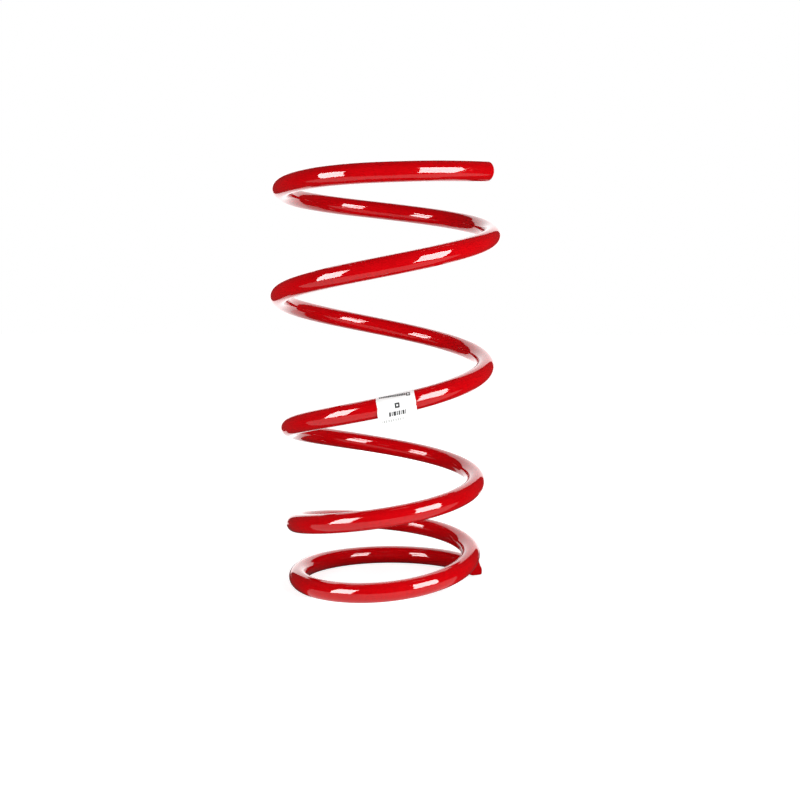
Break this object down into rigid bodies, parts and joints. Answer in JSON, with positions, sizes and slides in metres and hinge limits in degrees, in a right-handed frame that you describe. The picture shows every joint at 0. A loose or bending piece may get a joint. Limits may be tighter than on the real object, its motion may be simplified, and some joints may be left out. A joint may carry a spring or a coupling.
{
  "type": "suspension coil spring",
  "caption": "Helical compression spring for a vehicle suspension, wound right-handed from round wire, gloss red coated, closed flat lower end, open upper end, wrapped paper label.",
  "frame": {"origin": "on the coil axis, in the plane that the lower end coil sits on", "axes": "+Z along the coil axis, up towards the upper end coil; +X towards the side where both wire ends stop; -Y towards the face that carries the label"},
  "size_m": [0.1596, 0.1597, 0.2881],
  "materials": {
    "coating": "gloss powder coat",
    "label_paper": "semi-gloss self-adhesive paper with black print"
  },
  "bodies": {
    "lower_end": {"lower_end_coil": "coating"},
    "second_rear": {"second_coil_rear": "coating"},
    "second_front": {"second_coil_front": "coating"},
    "third_rear": {"third_coil_rear": "coating"},
    "third_front": {"third_coil_front": "coating", "label": "label_paper"},
    "fourth_rear": {"fourth_coil_rear": "coating"},
    "fourth_front": {"fourth_coil_front": "coating"},
    "upper_end": {"upper_end_coil": "coating"}
  },
  "joints": [
    {"name": "compression", "type": "slide", "parent": "lower_end", "child": "upper_end", "axis": [0, 0, 1], "range_m": [-0.175, 0], "stiffness_N_per_m": 30000},
    {"name": "second_rear_tip", "type": "hinge", "parent": "lower_end", "child": "second_rear", "pos_m": [0.06062, 0, 0.02067], "axis": [0, 1, 0], "range_deg": [-7.38, 0]},
    {"name": "second_front_tip", "type": "hinge", "parent": "second_rear", "child": "second_front", "pos_m": [-0.06251, 0, 0.0459], "axis": [0, 1, 0], "range_deg": [0, 17.04]},
    {"name": "third_rear_tip", "type": "hinge", "parent": "second_front", "child": "third_rear", "pos_m": [0.06378, 0, 0.07277], "axis": [0, 1, 0], "range_deg": [-21.3, 0]},
    {"name": "third_front_tip", "type": "hinge", "parent": "third_rear", "child": "third_front", "pos_m": [-0.06622, 0, 0.11171], "axis": [0, 1, 0], "range_deg": [0, 26.88]},
    {"name": "fourth_rear_tip", "type": "hinge", "parent": "third_front", "child": "fourth_rear", "pos_m": [0.06983, 0, 0.15366], "axis": [0, 1, 0], "range_deg": [-29.23, 0]},
    {"name": "fourth_front_tip", "type": "hinge", "parent": "fourth_rear", "child": "fourth_front", "pos_m": [-0.07291, 0, 0.20217], "axis": [0, 1, 0], "range_deg": [0, 28.2]}
  ],
  "couplings": [
    {"joint": "second_rear_tip", "follows": "compression", "rad_per_m": 0.7344},
    {"joint": "second_front_tip", "follows": "compression", "rad_per_m": -1.6979},
    {"joint": "third_rear_tip", "follows": "compression", "rad_per_m": 2.1223},
    {"joint": "third_front_tip", "follows": "compression", "rad_per_m": -2.6788},
    {"joint": "fourth_rear_tip", "follows": "compression", "rad_per_m": 2.9132},
    {"joint": "fourth_front_tip", "follows": "compression", "rad_per_m": -2.81}
  ]
}
